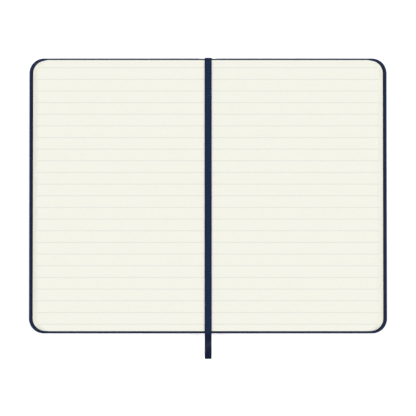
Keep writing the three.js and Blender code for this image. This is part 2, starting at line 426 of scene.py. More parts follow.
@dataclass(frozen=True)
class RibbonWeave(Finish):
    """Polyester ribbon, woven with fine weft ribs and two tight selvedges.

    The eye gets a navy satin with cross ribs broken into dots by the warp, with painted shade at both
    selvedges and painted shade on its free end past the tail. The real ribs are 0.35 apart. They are drawn at
    1.0, because finer ones vanish.
    """

    shadow: str
    bright: str
    rib: float  # weft rib spacing
    warp: float  # warp end spacing
    width: float
    selvedge: float = 0.42  # width of the band of painted shade at each edge
    selvedge_fade: float = 0.3  # width over which it starts
    selvedge_shade_tone: float = 0.85  # how much of the shadow tone that painted shade has
    rib_depth: float = 0.02

    def build(self) -> bpy.types.Material:
        """The finished material."""
        material, tree, shader, _ = self.begin()
        uv = add_node(tree, "ShaderNodeUVMap", uv_map="weave").outputs["UV"]
        axes = add_node(tree, "ShaderNodeSeparateXYZ", {0: uv})
        across, along = axes.outputs["X"], axes.outputs["Y"]
        warp_phase = add_node(tree, "ShaderNodeMath", {
            0: across, 1: math.tau / self.warp,
        }, operation="MULTIPLY").outputs[0]
        warp = add_node(tree, "ShaderNodeMath", {0: warp_phase}, operation="SINE").outputs[0]
        stagger = add_node(tree, "ShaderNodeMath", {
            0: warp, 1: 0.9, 2: 0.0,
        }, operation="MULTIPLY_ADD").outputs[0]
        rib_phase = add_node(tree, "ShaderNodeMath", {
            0: along, 1: math.tau / self.rib, 2: stagger,
        }, operation="MULTIPLY_ADD").outputs[0]
        rib = add_node(tree, "ShaderNodeMath", {0: rib_phase}, operation="SINE").outputs[0]
        dots = add_node(tree, "ShaderNodeMath", {0: rib, 1: warp}, operation="MULTIPLY").outputs[0]
        woven = add_node(tree, "ShaderNodeMath", {0: rib, 1: dots}, operation="ADD").outputs[0]
        light = add_node(tree, "ShaderNodeMapRange", {
            "Value": woven, "From Min": -1.4, "From Max": 1.4, "To Min": 0.0, "To Max": 1.0,
        }).outputs[0]
        cloth = add_node(tree, "ShaderNodeMix", {
            0: light, 6: linear(self.shadow), 7: linear(self.bright),
        }, data_type="RGBA").outputs[2]
        # painted shade at both selvedges
        middle = add_node(tree, "ShaderNodeMath", {0: across}, operation="ABSOLUTE").outputs[0]
        from_seam = add_node(tree, "ShaderNodeMath", {
            0: middle, 1: self.width / 2 - self.selvedge,
        }, operation="SUBTRACT").outputs[0]
        selvedge_shade = add_node(tree, "ShaderNodeMapRange", {
            "Value": from_seam, "From Min": -self.selvedge_fade, "From Max": 0.0,
            "To Min": 0.0, "To Max": self.selvedge_shade_tone,
        }).outputs[0]
        with_selvedge_shade = add_node(tree, "ShaderNodeMix", {
            0: selvedge_shade, 6: cloth, 7: linear(self.shadow),
        }, data_type="RGBA").outputs[2]
        # painted shade on the free end past the tail
        tail_shade = add_node(tree, "ShaderNodeAttribute", attribute_name="tail_shade").outputs["Fac"]
        tail_shaded = add_node(tree, "ShaderNodeMix", {
            0: tail_shade, 6: with_selvedge_shade, 7: linear(self.shadow),
        }, data_type="RGBA").outputs[2]
        tree.links.new(tail_shaded, shader.inputs["Base Color"])
        bump = add_node(tree, "ShaderNodeBump", {
            "Height": woven, "Distance": self.rib_depth * MM, "Strength": 0.8,
        })
        tree.links.new(bump.outputs["Normal"], shader.inputs["Normal"])
        shader.inputs["Sheen Weight"].default_value = 0.05
        shader.inputs["Sheen Roughness"].default_value = 0.4
        return material


@dataclass(frozen=True)
class WhiteSweep(Finish):
    """Back-lit white acrylic sheet, which hides nearly all of a thing's shadow."""

    glow: float

    def build(self) -> bpy.types.Material:
        """The finished material."""
        material, _, shader, _ = self.begin()
        shader.inputs["Emission Color"].default_value = linear(self.colour)
        shader.inputs["Emission Strength"].default_value = self.glow
        return material


class Finishes:
    """Every finish of the book, built once."""

    def __init__(self) -> None:
        """Builds the materials."""
        self.leatherette = Leatherette("navy_leatherette", "0d1e3f", 0.5, 0.22, crease="060f26",
                                       worn="1d3157", grain=0.62, depth=0.07).build()
        self.paper = RuledPaper("ivory_ruled_paper", "eae9df", 0.88, 0.2, ink="dbdcd3", mottle="e6e7dc",
                                edge="f2f1e7", pitch=5.911, first=64.82, line=0.45).build()
        self.endpaper = Fibrous("cream_endpaper", "e7e4d6", 0.9, 0.2, fleck="dedac9", fibre=0.8, contrast=0.6,
                                depth=0.01).build()
        self.board = Fibrous("grey_pulp_board", "7f7a70", 0.95, 0.2, fleck="5d594f", fibre=0.5, contrast=0.9,
                             depth=0.06).build()
        self.card = Fibrous("manila_spine_card", "a79b86", 0.92, 0.2, fleck="857a66", fibre=0.5, contrast=0.8,
                            depth=0.03).build()
        self.mull = PlainWeave("starched_cotton_mull", "d9d4c4", 0.95, 0.2, gap="8f897a", pitch_up=0.8,
                               pitch_across=0.8, depth=0.05).build()
        self.thread = PlainWeave("waxed_linen_thread", "e6dfc9", 0.7, 0.3, gap="b3a98d", pitch_up=0.35,
                                 pitch_across=0.35, depth=0.04).build()
        self.ribbon = RibbonWeave("navy_polyester_ribbon", "16264a", 0.5, 0.1, shadow="07122b",
                                  bright="1f3358", rib=1.0, warp=0.6, width=3.52).build()
        self.sweep = WhiteSweep("white_acrylic_sweep", "fafafa", 0.6, 0.2, glow=0.42).build()


# ---------------------------------------------------------------------------------------- mesh helpers


def box_mm(node: str) -> tuple[np.ndarray, np.ndarray]:
    """Lowest and highest corner of a frame node at rest, in millimetres."""
    low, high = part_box(node)
    return np.array(low) / MM, np.array(high) / MM


def smoothstep(value: np.ndarray, low: float, high: float) -> np.ndarray:
    """Goes from 0 at low to 1 at high, level at both ends: 3t^2 - 2t^3 of the share t of the way."""
    share = np.clip((np.asarray(value, float) - low) / (high - low), 0, 1)
    return share * share * (3 - 2 * share)


def grid_quads(rows: int, columns: int) -> np.ndarray:
    """Quads of a grid of points in which point (row, column) is number row * columns + column."""
    row = np.arange(rows - 1)[:, None] * columns
    start = row + np.arange(columns - 1)[None, :]
    return np.stack([start, start + 1, start + columns + 1, start + columns], -1).reshape(-1, 4)


def close_skins(over: np.ndarray, under: np.ndarray) -> tuple[np.ndarray, np.ndarray]:
    """Closes two skins into one solid.

    Both skins are grids of the same size. The lower one's faces are turned round, and a rim of quads joins
    the two borders. If the solid's signed volume comes out negative, every face is turned round.

    Args:
        over: Points of one skin, rows by columns by 3.
        under: Points of the other skin.

    Returns:
        The points, and the quads.
    """
    rows, columns = over.shape[:2]
    count = rows * columns
    number = np.arange(count).reshape(rows, columns)
    border = np.concatenate([number[0], number[1:, -1], number[-1, -2::-1], number[-2:0:-1, 0]])
    after = np.roll(border, -1)
    face = grid_quads(rows, columns)
    rim = np.stack([after, border, border + count, after + count], -1)
    points = np.concatenate([over.reshape(-1, 3), under.reshape(-1, 3)])
    quads = np.concatenate([face, face[:, ::-1] + count, rim])
    a, b, c, d = (points[quads[:, at]] for at in range(4))
    volume = np.einsum("ij,ij->", a, np.cross(b, c)) + np.einsum("ij,ij->", a, np.cross(c, d))
    return points, quads if volume > 0 else quads[:, ::-1]


def offset_path(path: np.ndarray, thickness: float | np.ndarray) -> tuple[np.ndarray, np.ndarray]:
    """Moves a flat path half a thickness to each side, along its normal.

    Args:
        path: Points of two numbers each.
        thickness: One value, or one for each point.

    Returns:
        The path on its left side and the path on its right side.
    """
    along = np.gradient(path, axis=0)
    along /= np.linalg.norm(along, axis=1, keepdims=True)
    normal = np.stack([-along[:, 1], along[:, 0]], 1)
    half = np.reshape(np.broadcast_to(thickness, len(path)), (-1, 1)) / 2
    return path + normal * half, path - normal * half


def join_solids(solids: list[tuple[np.ndarray, np.ndarray]]) -> tuple[np.ndarray, np.ndarray]:
    """Puts several solids into one set of points and quads, with no point shared."""
    starts = np.cumsum([0] + [len(points) for points, _ in solids[:-1]])
    quads = [faces + start for (_, faces), start in zip(solids, starts)]
    return np.concatenate([points for points, _ in solids]), np.concatenate(quads)


def put_mesh(name: str, points: np.ndarray, quads: np.ndarray, material: bpy.types.Material,
             crease: float = 40.0) -> bpy.types.Object:
    """Makes a mesh object at the origin.

    Args:
        name: Name of the piece.
        points: Points in millimetres.
        quads: Four point numbers for each face.
        material: Finish of the whole piece.
        crease: Angle in degrees past which an edge stays sharp.

    Returns:
        The new object.
    """
    mesh = bpy.data.meshes.new(name)
    mesh.from_pydata((points * MM).tolist(), [], quads.tolist())
    mesh.polygons.foreach_set("use_smooth", np.ones(len(mesh.polygons), bool))
    mesh.set_sharp_from_angle(angle=math.radians(crease))
    mesh.materials.append(material)
    mesh.update()
    piece = bpy.data.objects.new(name, mesh)
    bpy.context.scene.collection.objects.link(piece)
    log.info("%s: %d faces", name, len(quads))
    return piece


def put_attribute(piece: bpy.types.Object, name: str, values: np.ndarray) -> None:
    """Stores one number for each point of a piece, for its material to read."""
    layer = piece.data.attributes.new(name, "FLOAT", "POINT")
    layer.data.foreach_set("value", values.astype(np.float32))


def put_uv(piece: bpy.types.Object, name: str, values: np.ndarray) -> None:
    """Stores a UV map from one pair of numbers for each point of a piece."""
    corners = np.zeros(len(piece.data.loops), np.int32)
    piece.data.loops.foreach_get("vertex_index", corners)
    layer = piece.data.uv_layers.new(name=name)
    layer.data.foreach_set("uv", values[corners].astype(np.float32).ravel())


def dress_node(node: str, material: bpy.types.Material) -> None:
    """Gives a frame node that stays in sight a finished material."""
    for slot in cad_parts[node].material_slots:
        slot.material = material
    log.info("%s: dressed in %s", node, material.name)


# ------------------------------------------------------------------------------------------- the covers


@dataclass
class Cover:
    """One cover: the leatherette covering, the board inside it, and the endpaper glued over them."""

    side: Side
    finishes: Finishes
    corner: float = 7.5  # radius of the two outer corners
    cloth: float = 0.2  # thickness of the covering
    edge_round: float = 0.45  # radius of the covering where it rounds the board's edges
    edge_steps: int = 5  # faces round that radius
    most_round: float = 0.48  # share of the covering's height that the radius may take
    turn_in: float = 12.0  # width turned over on to the board's inner face
    outside_rings: tuple[float, ...] = (6.0, 2.0)  # insets of the mesh's rings on the outer face
    inside_rings: tuple[float, ...] = (0.7, 1.1, 1.6, 2.2, 3.2, 5.0, 8.0)  # and on the turn-in
    board_ramp: float = 1.3  # width over which the covering rises on to the board
    outside_wear_and_highlight: float = 0.8  # wear and painted highlight where the outer face meets the edge, with 1 on the edge itself
    rim_fade: float = 0.3  # how much less it is where the edge meets the turn-in
    inside_wear_and_highlight: float = 0.25  # wear and painted highlight on the turn-in, which dies away over 1 mm
    hem: float = 0.45  # thickness at head and tail where there is no board
    groove: float = 0.35  # depth of the joint's groove, seen from outside
    groove_width: float = 1.1
    bend: float = 0.5  # radius at which the covering turns up into the spine
    bend_at: float = 0.6  # gutter to the middle of that bend
    rise: float = 1.3  # how far up the spine this covering goes
    bend_past: float = 0.2  # bend to where the covering is wholly the text block's
    pleats: int = 7  # gathers in the turn-in at each corner
    pleat_depth: float = 0.16
    pleat_width: float = 0.17  # as a share of their spacing
    pleat_start: tuple[float, float] = (0.1, 0.7)  # insets over which a pleat deepens
    pleat_end: tuple[float, float] = (3.0, 7.0)  # and over which it dies away
    corner_steps: int = 42
    sheet_root: float = 1.35  # gutter to the glued endpaper
    sheet_joint: float = 8.0  # gutter to where its mesh gets wide
    sheet_inset: float = 2.4  # how much smaller its corners' radius is
    sheet_sag: float = 0.55  # how far it sinks into the joint
    sheet_sag_at: float = 3.3
    sheet_sag_width: float = 1.1
    sheet_bend_from: float = 0.1  # short of the board's edge, where it starts to bend
    sheet_bend_to: float = 1.5  # gutter to where it ends

    def __post_init__(self) -> None:
        """Reads the cover's place from the frame."""
        low, high = box_mm(f"{self.side.end}_covering")
        board_low, board_high = box_mm(f"{self.side.end}_board")
        self.reach = float(np.abs([low[0], high[0]]).max())
        self.board_root = float(np.abs([board_low[0], board_high[0]]).min())
        self.half = float(high[1])
        self.top = float(high[2])
        self.sheet_low, self.sheet_high = box_mm(f"{self.side.end}_pastedown")

    def build(self) -> None:
        """Makes and dresses the cover's pieces."""
        self.make_covering()
        self.make_endpaper()
        dress_node(f"{self.side.end}_board", self.finishes.board)

    def columns(self) -> np.ndarray:
        """Places along the covering where its mesh has a column, measured flat from the gutter."""
        arc = self.bend * math.pi / 2
        foot = self.bend_at - arc
        return np.concatenate([
            np.linspace(foot - (self.rise - self.bend), foot, 4, endpoint=False),
            np.linspace(foot, self.bend_at, 7, endpoint=False),
            np.linspace(self.bend_at, self.board_root + 0.6, 18),
            [9.0, 20.0, 36.0, 52.0, 66.0],
        ])

    def wrap(self, flat: np.ndarray, height: np.ndarray) -> tuple[np.ndarray, np.ndarray]:
        """Bends the flat covering up into the spine.

        Past the bend the covering lies flat, and height is z. Round the bend it follows a quarter circle,
        and above that it stands upright. Height is measured inwards from the outer face all the way.

        Args:
            flat: Distance along the covering.
            height: Distance inwards from its outer face.

        Returns:
            The x and z of each point.
        """
        back = np.clip(self.bend_at - flat, 0, None)
        turn = np.minimum(back / self.bend, math.pi / 2)
        climb = back - turn * self.bend
        reach = self.bend - height
        x = np.where(back > 0, self.bend_at - reach * np.sin(turn), flat)
        z = np.where(back > 0, self.bend - reach * np.cos(turn) + climb, height)
        return x, z

    def make_covering(self) -> bpy.types.Object:
        """Makes the covering as a skin that is carried round the cover's outline.

        A profile of inset and height goes from under the board, round its edge and on to its inner face.
        Each of its points is carried along the outline: straight at the tail, a quarter circle, straight
        along the fore-edge, and the same again to the head. Strips across the outside close the middle.
        """
        columns = self.columns()
        turn = np.linspace(0, math.pi / 2, self.corner_steps + 1)
        centre_x, centre_y = self.reach - self.corner, self.half - self.corner
        straight, arcs = np.zeros(len(columns)), len(turn)
        flat = np.concatenate([columns, np.full(2 * arcs, centre_x), columns[::-1]])
        tall = np.concatenate([straight - self.half, np.full(arcs, -centre_y)])
        tall = np.concatenate([tall, -tall[::-1]])
        angle = np.concatenate([straight, turn - math.pi / 2, turn, straight])
        on_arc = np.concatenate([straight, np.ones(2 * arcs), straight]) > 0
        count = len(flat)

        on_board = smoothstep(flat, self.board_root - self.board_ramp, self.board_root)
        top = self.hem + (self.top - self.hem) * on_board
        radius = np.minimum(self.edge_round, top * self.most_round)
        sweep = np.linspace(0, math.pi / 2, self.edge_steps + 1)
        insets = [np.full(count, inset) for inset in (self.turn_in, *self.outside_rings)]
        heights = [np.zeros(count) for _ in insets]
        # wear and painted highlight: lighter on the rounded edge and on the rim of the turn-in
        wear_and_highlight = [0.0 for _ in insets]
        for part in sweep:
            insets.append(radius * (1 - math.sin(part)))
            heights.append(radius * (1 - math.cos(part)))
            wear_and_highlight.append(math.sin(part) * self.outside_wear_and_highlight)
        for part in sweep:
            insets.append(radius * (1 - math.cos(part)))
            heights.append(top - radius * (1 - math.sin(part)))
            wear_and_highlight.append(1 - self.rim_fade * math.sin(part))
        for inset in (*self.inside_rings, self.turn_in):
            insets.append(np.full(count, inset))
            heights.append(top)
            wear_and_highlight.append(self.inside_wear_and_highlight * math.exp(-inset))
        inset = np.stack(insets)
        height = np.stack(heights)

        gather = angle % (math.pi / 2) / (math.pi / 2) * self.pleats
        crease = np.exp(-(((gather - np.floor(gather)) - 0.5) / self.pleat_width) ** 2) * on_arc
        fade = smoothstep(inset, *self.pleat_start) * (1 - smoothstep(inset, *self.pleat_end))
        height = height - self.pleat_depth * crease * fade * (height > self.top / 2)

        pull = np.clip(inset - self.corner / 2, 0, None)
        bow = np.maximum(self.corner - inset, self.corner / 2)
        arc_flat = flat - pull + bow * np.cos(angle)
        arc_tall = tall - pull * np.sign(tall) + bow * np.sin(angle)
        out_flat = np.where(on_arc, arc_flat, flat)
        out_tall = np.where(on_arc, arc_tall, tall - inset * np.sign(tall))
        groove_at = (self.board_root + self.bend_at) / 2
        sunk = np.exp(-(((out_flat - groove_at) / self.groove_width) ** 2)) * self.groove
        x, z = self.wrap(out_flat, height + sunk)
        points = np.stack([x * self.side.value, out_tall, z], -1).reshape(-1, 3)

        start = np.arange(count // 2 - 1)
        strips = np.stack([start + 1, start, count - 1 - start, count - 2 - start], -1)
        quads = np.concatenate([grid_quads(len(inset), count), strips])
        a, b, c = (points[strips[len(columns) - 2, at]] for at in range(3))
        if np.cross(b - a, c - a)[2] > 0:
            quads = quads[:, ::-1]
        piece = put_mesh(f"{self.side.end}_leatherette", points, quads, self.finishes.leatherette)
        put_attribute(piece, "wear_and_highlight", np.repeat(wear_and_highlight, count))
        shell = piece.modifiers.new("thickness", "SOLIDIFY")
        shell.thickness = self.cloth * MM
        shell.offset = -1
        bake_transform(piece)
        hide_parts(f"{self.side.end}_covering")
        return piece

    def make_endpaper(self) -> bpy.types.Object:
        """Makes the glued half of the endpaper, which crosses the joint and ends at the spine."""
        low, high = self.sheet_low, self.sheet_high
        outer = float(np.abs([low[0], high[0]]).max())
        middle = (low[2] + high[2]) / 2
        corner = self.corner - self.sheet_inset
        columns = leaf_columns(self.sheet_root, outer, corner, joint=self.sheet_joint)
        sag = self.sheet_sag * np.exp(-(((columns - self.sheet_sag_at) / self.sheet_sag_width) ** 2))
        path = np.stack([columns, middle - sag], 1)
        half = leaf_half(columns, outer, high[1], corner)
        solid = paper_solid(path, half, high[2] - low[2], self.side)
        piece = put_mesh(f"{self.side.end}_endpaper", *solid, self.finishes.endpaper)
        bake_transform(piece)
        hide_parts(f"{self.side.end}_pastedown")
        return piece


# ------------------------------------------------------------------------------------------ the leaves


def leaf_columns(inner: float, outer: float, corner: float, joint: float) -> np.ndarray:
    """Places across a leaf where its mesh has a column.

    Args:
        inner: Gutter edge.
        outer: Fore-edge.
        corner: Radius of the outer corners.
        joint: Where the closer columns by the gutter end.

    Returns:
        Close columns by the gutter, wide ones across the middle, and equal turns round the corner.
    """
    share = np.linspace(0, 1, GUTTER_COLUMNS, endpoint=False)
    near = inner + (joint - inner) * share**GUTTER_CROWDING
    wide = np.linspace(joint, outer - corner, MIDDLE_COLUMNS, endpoint=False)
    turn = outer - corner + corner * np.sin(np.linspace(0, math.pi / 2, CORNER_COLUMNS))
    return np.concatenate([near, wide, turn])


def leaf_half(columns: np.ndarray, outer: float, half: float, corner: float) -> np.ndarray:
    """Half of a leaf's height at each column: full, then less by a quarter circle at the outer corner."""
    into = np.clip(columns - (outer - corner), 0, corner)
    return half - corner + np.sqrt(corner**2 - into**2)


def paper_solid(path: np.ndarray, half: np.ndarray, thickness: float, side: Side,
                rows: int = LEAF_ROWS) -> tuple[np.ndarray, np.ndarray]:
    """A sheet of paper as a closed solid.

    The path is moved half a thickness to each side. Each point is then carried across the sheet, as y = row
    times the half height there, for rows from -1 to 1.

    Args:
        path: Points (x, z) on the right-hand half, from one edge to the other.
        half: Half height of the sheet at each point.
        thickness: Thickness of the paper.
        side: Half of the book that it goes on.
        rows: Points from tail to head.

    Returns:
        The points, and the quads.
    """
    across = np.linspace(-1, 1, rows)
    skins = []
    for skin in offset_path(path, thickness):
        x = np.broadcast_to(skin[:, :1] * side.value, (len(path), rows))
        z = np.broadcast_to(skin[:, 1:], (len(path), rows))
        skins.append(np.stack([x, half[:, None] * across, z], -1))
    return close_skins(*skins)


@dataclass
class TextBlock:
    """One half of the text block: flyleaf, six sections of eight leaves, and the leaf on top."""

    side: Side
    finishes: Finishes
    levels: ClassVar[int] = 6  # sections in each half
    leaves: int = 8
    paper: float = 0.064  # thickness of one leaf
    corner: float = 6.3  # radius of the pages' outer corners
    joint: float = 7.0  # gutter to where the leaves' mesh gets wide
    back_depth: float = 0.16  # how far the folded backs stand out
    nesting: float = 0.2  # share of that depth which each sheet has less than the one round it
    fold_steps: int = 7
    fan: float = 0.3  # how far a section's lowest leaf stands out past its highest
    uneven: float = 0.08  # how unevenly the fore-edges are cut
    uneven_ends: float = 0.06  # the same at head and tail
    slip: float = 0.12  # how far the ruling of one leaf is off that of the next
    trim: float = 0.4  # how far the fore-edges stay inside the solid that stands for the leaves
    head_trim: float = 0.1  # the same at head and tail
    edge_light_band: tuple[float, float] = (3.0, 1.0)  # fore-edge to where the painted light on the leaves starts and where it is full
    # strength of the painted light on the fore-edges
    pale: float = 0.8
    dip: float = 0.12  # how far the top leaves sink towards the gutter
    dip_width: float = 2.6  # gutter to where they start to sink
    dip_from: float = 4.0  # level below which leaves stay flat
    root: float = 1.16  # gutter to the innermost backs
    root_rows: int = 3
    root_trim: float = 0.1  # how much shorter the inner edges are at head and tail
    root_uneven: float = 0.05
    apart: float = 0.01  # gap between the inner edges and the sections
    press_at: float = 1.1  # gutter to the place that the inner edges flatten towards
    pressed: float = 0.03  # share of their width that is left
    top_root: float = 0.85  # gutter to the top leaves
    turn_band: tuple[float, float] = (1.0, 3.4)  # where the turning leaf starts and ends bending

    def __post_init__(self) -> None:
        """Reads the block's place from the frame and seeds its small differences."""
        low, high = box_mm(f"{self.side.hand}_top_leaf")
        self.top = float(high[2])
        self.half = float(high[1]) - self.head_trim
        self.top_low = float(low[2])
        self.top_outer = float(np.abs([low[0], high[0]]).max())
        self.random = np.random.default_rng(SEED + self.side.value)

    def build(self) -> None:
        """Makes and dresses the block's pieces."""
        self.make_flyleaf()
        for level in range(self.levels):
            self.make_section(level)
        self.make_roots()
        self.make_top_leaf()

    def sink(self, columns: np.ndarray, level: np.ndarray | float) -> np.ndarray:
        """How far a leaf sinks by the gutter: a square curve, full at the top and none at dip_from."""
        near = np.clip((self.dip_width - columns) / (self.dip_width - 1), 0, None) ** 2
        return self.dip * near * np.clip((level - self.dip_from) / (self.top - self.dip_from), 0, 1)

    def leaf_path(self, inner: float, outer: float, level: float) -> np.ndarray:
        """Middle line of one leaf from gutter to fore-edge, as (x, z)."""
        columns = leaf_columns(inner, outer, self.corner, joint=self.joint)
        return np.stack([columns, level - self.sink(columns, level)], 1)

    def reach(self, node: str) -> tuple[float, float, float, float]:
        """Inner edge, outer edge, underside and top of a frame node of this block."""
        low, high = box_mm(node)
        inner, outer = sorted(np.abs([low[0], high[0]]))
        return float(inner), float(outer), float(low[2]), float(high[2])

    def make_flyleaf(self) -> bpy.types.Object:
        """Makes the free half of the endpaper, under the first section."""
        inner, outer, low, high = self.reach(f"{self.side.end}_flyleaf")
        outer -= self.trim / 2
        path = self.leaf_path(inner, outer, (low + high) / 2)
        half = leaf_half(path[:, 0], outer, self.half, self.corner)
        piece = put_mesh(f"{self.side.end}_free_endpaper", *paper_solid(path, half, high - low, self.side),
                         self.finishes.endpaper)
        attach(piece, self.side.section(0)[1])
        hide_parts(f"{self.side.end}_flyleaf")
        return piece

    def make_section(self, level: int) -> bpy.types.Object:
        """Makes one section as four sheets, each folded round the one inside it.

        A sheet's path runs from its lower leaf's fore-edge to the gutter, round the fold by half an ellipse
        and back along its upper leaf.

        Args:
            level: 0 for the section on the flyleaf, 5 for the one on top.

        Returns:
            The section's piece.
        """
        node, body = self.side.section(level)
        inner, outer, low, high = self.reach(node)
        pitch = (high - low) / self.leaves
        heights = low + pitch * (np.arange(self.leaves) + 0.5)
        share = np.linspace(0.5, -0.5, self.leaves)
        edges = outer - self.trim + self.fan * share
        edges += self.random.uniform(-self.uneven, self.uneven, self.leaves)
        trims = self.random.uniform(-self.uneven_ends, self.uneven_ends, self.leaves)
        slips = self.random.normal(0, self.slip, self.leaves)
        solids, slip = [], []
        for sheet in range(self.leaves // 2):
            upper = self.leaves - 1 - sheet
            start = inner + self.back_depth + self.paper / 2
            depth = self.back_depth * (1 - sheet * self.nesting)
            below = self.leaf_path(start, edges[sheet], heights[sheet])
            above = self.leaf_path(start, edges[upper], heights[upper])
            turn = np.linspace(-math.pi / 2, math.pi / 2, self.fold_steps)[1:-1]
            middle, tall = (above[0, 1] + below[0, 1]) / 2, (above[0, 1] - below[0, 1]) / 2
            fold = np.stack([start - depth * np.cos(turn), middle + tall * np.sin(turn)], 1)
            path = np.concatenate([below[::-1], fold, above])
            half = np.concatenate([
                leaf_half(below[::-1, 0], edges[sheet], self.half + trims[sheet], self.corner),
                np.full(len(fold), self.half + (trims[sheet] + trims[upper]) / 2),
                leaf_half(above[:, 0], edges[upper], self.half + trims[upper], self.corner),
            ])
            solids.append(paper_solid(path, half, self.paper, self.side))
            shift = np.where(np.arange(len(path)) < len(path) // 2, slips[sheet], slips[upper])
            slip.append(np.tile(np.repeat(shift, LEAF_ROWS), 2))
        points, quads = join_solids(solids)
        piece = put_mesh(node.replace("section", "leaves"), points, quads, self.finishes.paper)
        # painted light: the leaves are painted paler towards their fore-edges
        starts, ends = self.edge_light_band
        edge_light_share = smoothstep(np.abs(points[:, 0]), outer - starts, outer - ends)
        put_attribute(piece, "painted_edge_light", self.pale * edge_light_share)
        put_attribute(piece, "ruling_slip", np.concatenate(slip) * MM)
        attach(piece, body)
        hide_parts(node)
        return piece

    def make_roots(self) -> bpy.types.Object:
        """Makes the leaves' inner edges, which fan out from the spine.

        Each section's back slides towards the spine as the gutter folds, and this piece moves with the text
        block.
        """
        solids = []
        for level in range(self.levels - 1):
            inner, _, low, high = self.reach(self.side.section(level)[0])
            pitch = (high - low) / self.leaves
            for leaf in range(self.leaves):
                columns = np.linspace(self.root, inner - self.apart, self.root_rows)
                path = np.stack([columns, np.full(self.root_rows, low + pitch * (leaf + 0.5))], 1)
                uneven = self.random.uniform(-self.root_uneven, self.root_uneven)
                half = np.full(self.root_rows, self.half - self.root_trim + uneven)
                solids.append(paper_solid(path, half, self.paper, self.side, rows=self.root_rows))
        piece = put_mesh(f"{self.side.hand}_leaf_roots", *join_solids(solids), self.finishes.paper)
        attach(piece, self.side.block)
        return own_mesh(piece)

    def make_top_leaf(self) -> bpy.types.Object:
        """Makes the leaf that lies on top. The left-hand one moves with the left block; the right-hand one
        stays in place.
        """
        path = self.leaf_path(self.top_root, self.top_outer, (self.top + self.top_low) / 2)
        half = leaf_half(path[:, 0], self.top_outer, self.half, self.corner)
        name = f"{self.side.hand}_top_page"
        piece = put_mesh(name, *paper_solid(path, half, self.paper, self.side), self.finishes.paper)
        if self.side is Side.BACK:
            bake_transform(piece)
        else:
            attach(piece, "left_block")
        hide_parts(f"{self.side.hand}_top_leaf")
        return piece


# ------------------------------------------------------------------------------------------- the spine


@dataclass
class Spine:
    """The spine strip, folded back to back down the middle of the open book."""

    finishes: Finishes
    gap: float = 0.1  # gutter plane to the covering's outer face
    cloth: float = 0.26
    crest_cloth: float = 0.12  # thickness where the fold is creased
    hem: float = 0.42  # thickness where head and tail are turned in
    foot: float = 1.3  # where the covers' own covering ends
    crown: float = 6.75  # level where the fold starts to turn over
    half: float = 69.97  # half of the strip's height
    climb_rows: int = 8
    crest_rows: int = 13
    edge_rows: tuple[float, ...] = (0.0, 0.03, 0.1, 0.22, 1.2, 1.35, 4.0)  # mesh rows, from head or tail
    middle_rows: tuple[float, ...] = (-35.0, 0.0, 35.0)
    edge_lift: float = 0.1  # how much the very edge is rounded off
    edge_lift_width: float = 0.2
    hem_band: tuple[float, float] = (1.2, 1.35)  # from the edge, where the turned-in part stops
    # wear and painted highlight on the turned-in head and tail
    hem_wear_and_highlight: float = 0.3

    def build(self) -> None:
        """Makes and dresses the spine's pieces."""
        self.make_covering()
        for side in Side:
            dress_node(f"{side.end}_spine_card", self.finishes.card)
            dress_node(f"{side.end}_spine_lining", self.finishes.mull)
            dress_node(f"{side.end}_sewing_thread", self.finishes.thread)

    def make_covering(self) -> bpy.types.Object:
        """Makes the strip's covering in one piece: up one half, over the fold and down the other.

        The outer face is a path in x and z: upright, round half a circle and down again. The sine that
        rounds the crest is also the z part of the path's normal. The inner skin stands off it by the
        thickness, which is thin at the crest and thicker where the head and the tail are turned in.
        """
        climb = np.linspace(self.foot, self.crown, self.climb_rows, endpoint=False)
        turn = np.linspace(0, math.pi, self.crest_rows)
        upright, none = np.ones(len(climb)), np.zeros(len(climb))
        normal_x = np.concatenate([upright, np.cos(turn), -upright])
        crest = np.concatenate([none, np.sin(turn), none])
        x = self.gap * normal_x
        z = np.concatenate([climb, self.crown + self.gap * np.sin(turn), climb[::-1]])
        edge = np.array(self.edge_rows)
        rows = np.concatenate([edge - self.half, self.middle_rows, (self.half - edge)[::-1]])
        from_edge = self.half - np.abs(rows)
        lift = self.edge_lift * (1 - smoothstep(from_edge, 0.0, self.edge_lift_width))
        turned_in = 1 - smoothstep(from_edge, *self.hem_band)
        thickness = self.cloth - (self.cloth - self.crest_cloth) * crest
        full = thickness[:, None] + (self.hem - self.cloth) * turned_in * (1 - crest[:, None])
        out = np.broadcast_to(lift, full.shape) * (1 - crest[:, None])
        skins = []
        for height in (out, full - out):
            skins.append(np.stack([
                x[:, None] + normal_x[:, None] * height,
                np.broadcast_to(rows, full.shape),
                z[:, None] + crest[:, None] * height,
            ], -1))
        points, quads = close_skins(*skins)
        piece = put_mesh("spine_leatherette", points, quads, self.finishes.leatherette)
        # wear and painted highlight: the turned-in head and tail are painted lighter
        wear_and_highlight = np.broadcast_to(turned_in * self.hem_wear_and_highlight, full.shape)
        put_attribute(piece, "wear_and_highlight", np.tile(wear_and_highlight.ravel(), 2))
        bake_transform(piece)
        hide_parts("front_spine_covering", "back_spine_covering")
        return piece


# ------------------------------------------------------------------------------------------ the ribbon


